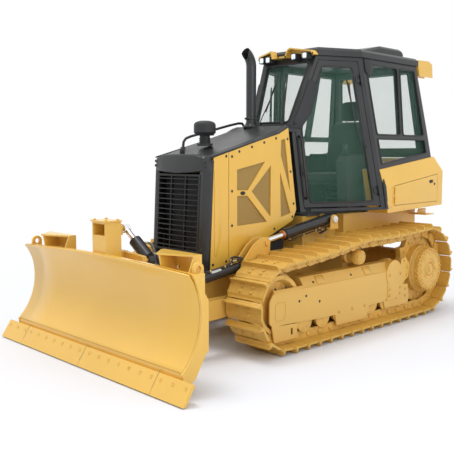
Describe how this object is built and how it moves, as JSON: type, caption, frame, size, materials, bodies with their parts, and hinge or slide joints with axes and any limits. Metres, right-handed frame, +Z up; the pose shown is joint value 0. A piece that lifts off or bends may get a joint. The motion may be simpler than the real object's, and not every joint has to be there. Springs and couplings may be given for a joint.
{
  "type": "compact track-type bulldozer",
  "caption": "Small tracked dozer with an angling, tilting blade on a push frame, a glazed cab, a sloped hood and opening cab and service doors.",
  "frame": {"origin": "on the ground under the middle of the whole machine's box, blade included", "axes": "+X to the machine's own left, -Y forward towards the blade, +Z up"},
  "size_m": [2.553, 4.244, 2.775],
  "materials": {
    "yellow_paint": "satin",
    "dark_paint": "satin",
    "rod_chrome": "polished",
    "glass": "clear, faintly green",
    "seat_fabric": "woven"
  },
  "bodies": {
    "chassis": {"cab_frame": "dark_paint", "cab_glass": "glass", "cab_roof": "dark_paint", "cab_tub": "dark_paint", "engine_block": "dark_paint", "exhaust_stack": "dark_paint", "final_drives": "yellow_paint", "grille": "dark_paint", "hood_panels": "yellow_paint", "hood_screens": "dark_paint", "hood_top": "dark_paint", "idlers": "yellow_paint", "lamp_visors": "yellow_paint", "lift_yokes": "yellow_paint", "main_frame": "yellow_paint", "nose_casing": "dark_paint", "operator_console": "dark_paint", "operator_seat": "seat_fabric", "precleaner": "dark_paint", "radiator": "dark_paint", "rear_hitch": "yellow_paint", "rear_tank": "yellow_paint", "roof_unit": "dark_paint", "side_box_left": "yellow_paint", "side_box_right": "yellow_paint", "sprockets": "yellow_paint", "track_frame_left": "yellow_paint", "track_frame_right": "yellow_paint", "track_left": "yellow_paint", "track_right": "yellow_paint", "track_rollers": "yellow_paint", "work_lamps": "dark_paint"},
    "cab_door_left": {"cab_door_left": "dark_paint", "cab_door_left_glass": "glass"},
    "cab_door_right": {"cab_door_right": "dark_paint", "cab_door_right_glass": "glass"},
    "service_door_left": {"service_door_left": "yellow_paint"},
    "service_door_right": {"service_door_right": "yellow_paint"},
    "c_frame": {"c_frame": "yellow_paint"},
    "blade_swivel": {"blade_swivel": "yellow_paint"},
    "blade": {"blade": "yellow_paint", "cutting_edges": "yellow_paint"},
    "tilt_barrel": {"tilt_barrel": "dark_paint"},
    "tilt_rod": {"tilt_rod": "rod_chrome"},
    "lift_barrel_left": {"lift_barrel_left": "dark_paint"},
    "lift_rod_left": {"lift_rod_left": "rod_chrome"},
    "angle_barrel_left": {"angle_barrel_left": "dark_paint"},
    "angle_rod_left": {"angle_rod_left": "rod_chrome"},
    "lift_barrel_right": {"lift_barrel_right": "dark_paint"},
    "lift_rod_right": {"lift_rod_right": "rod_chrome"},
    "angle_barrel_right": {"angle_barrel_right": "dark_paint"},
    "angle_rod_right": {"angle_rod_right": "rod_chrome"}
  },
  "joints": [
    {"name": "blade_lift", "type": "hinge", "parent": "chassis", "child": "c_frame", "pos_m": [0, 0, 0.4], "axis": [-1, 0, 0], "range_deg": [-16.5, 18]},
    {"name": "blade_angle", "type": "hinge", "parent": "c_frame", "child": "blade_swivel", "pos_m": [0, -1.66, 0.35], "axis": [0, 0, 1], "range_deg": [-25, 25]},
    {"name": "blade_tilt", "type": "hinge", "parent": "blade_swivel", "child": "blade", "pos_m": [0, -1.66, 0.35], "axis": [0, 1, 0], "range_deg": [-8, 8]},
    {"name": "lift_barrel_left_swing", "type": "hinge", "parent": "chassis", "child": "lift_barrel_left", "pos_m": [0.48, 0.393, 1.04], "axis": [-1, 0, 0], "range_deg": [-9, 9]},
    {"name": "lift_rod_left_slide", "type": "slide", "parent": "lift_barrel_left", "child": "lift_rod_left", "axis": [0, -0.9875, -0.1579], "range_m": [-0.19, 0.17]},
    {"name": "angle_barrel_left_swing", "type": "hinge", "parent": "c_frame", "child": "angle_barrel_left", "pos_m": [0.48, -0.79, 0.712], "axis": [1, 0, 0], "range_deg": [-5, 5]},
    {"name": "angle_rod_left_slide", "type": "slide", "parent": "angle_barrel_left", "child": "angle_rod_left", "axis": [0, -0.9909, -0.1343], "range_m": [-0.215, 0.215]},
    {"name": "lift_barrel_right_swing", "type": "hinge", "parent": "chassis", "child": "lift_barrel_right", "pos_m": [-0.48, 0.393, 1.04], "axis": [-1, 0, 0], "range_deg": [-9, 9]},
    {"name": "lift_rod_right_slide", "type": "slide", "parent": "lift_barrel_right", "child": "lift_rod_right", "axis": [0, -0.9875, -0.1579], "range_m": [-0.19, 0.17]},
    {"name": "angle_barrel_right_swing", "type": "hinge", "parent": "c_frame", "child": "angle_barrel_right", "pos_m": [-0.48, -0.79, 0.712], "axis": [1, 0, 0], "range_deg": [-5, 5]},
    {"name": "angle_rod_right_slide", "type": "slide", "parent": "angle_barrel_right", "child": "angle_rod_right", "axis": [0, -0.9909, -0.1343], "range_m": [-0.215, 0.215]},
    {"name": "tilt_barrel_swing", "type": "hinge", "parent": "blade_swivel", "child": "tilt_barrel", "pos_m": [0.262, -1.6, 0.825], "axis": [0, 1, 0], "range_deg": [-11, 11]},
    {"name": "tilt_rod_slide", "type": "slide", "parent": "tilt_barrel", "child": "tilt_rod", "axis": [-0.8197, 0, 0.5728], "range_m": [-0.08, 0.08]},
    {"name": "cab_door_left_swing", "type": "hinge", "parent": "chassis", "child": "cab_door_left", "pos_m": [0.73217, 0.92653, 1.14131], "axis": [-0.1326, -0.1198, 0.9839], "range_deg": [0, 120]},
    {"name": "cab_door_right_swing", "type": "hinge", "parent": "chassis", "child": "cab_door_right", "pos_m": [-0.73217, 0.92653, 1.14131], "axis": [-0.1326, 0.1198, -0.9839], "range_deg": [0, 120]},
    {"name": "service_door_left_swing", "type": "hinge", "parent": "chassis", "child": "service_door_left", "pos_m": [0.729, 1.165, 1.25], "axis": [0, 0, -1], "range_deg": [0, 90]},
    {"name": "service_door_right_swing", "type": "hinge", "parent": "chassis", "child": "service_door_right", "pos_m": [-0.729, 1.165, 1.25], "axis": [0, 0, 1], "range_deg": [0, 90]}
  ],
  "couplings": [
    {"joint": "lift_barrel_left_swing", "follows": "blade_lift", "ratio": 0.467},
    {"joint": "lift_rod_left_slide", "follows": "blade_lift", "m_per_rad": -0.5715},
    {"joint": "angle_barrel_left_swing", "follows": "blade_tilt", "ratio": 0.533},
    {"joint": "angle_rod_left_slide", "follows": "blade_angle", "m_per_rad": -0.4653},
    {"joint": "lift_barrel_right_swing", "follows": "blade_lift", "ratio": 0.467},
    {"joint": "lift_rod_right_slide", "follows": "blade_lift", "m_per_rad": -0.5715},
    {"joint": "angle_barrel_right_swing", "follows": "blade_tilt", "ratio": -0.533},
    {"joint": "angle_rod_right_slide", "follows": "blade_angle", "m_per_rad": 0.4653},
    {"joint": "tilt_barrel_swing", "follows": "blade_tilt", "ratio": 1.17},
    {"joint": "tilt_rod_slide", "follows": "blade_tilt", "m_per_rad": -0.533}
  ]
}
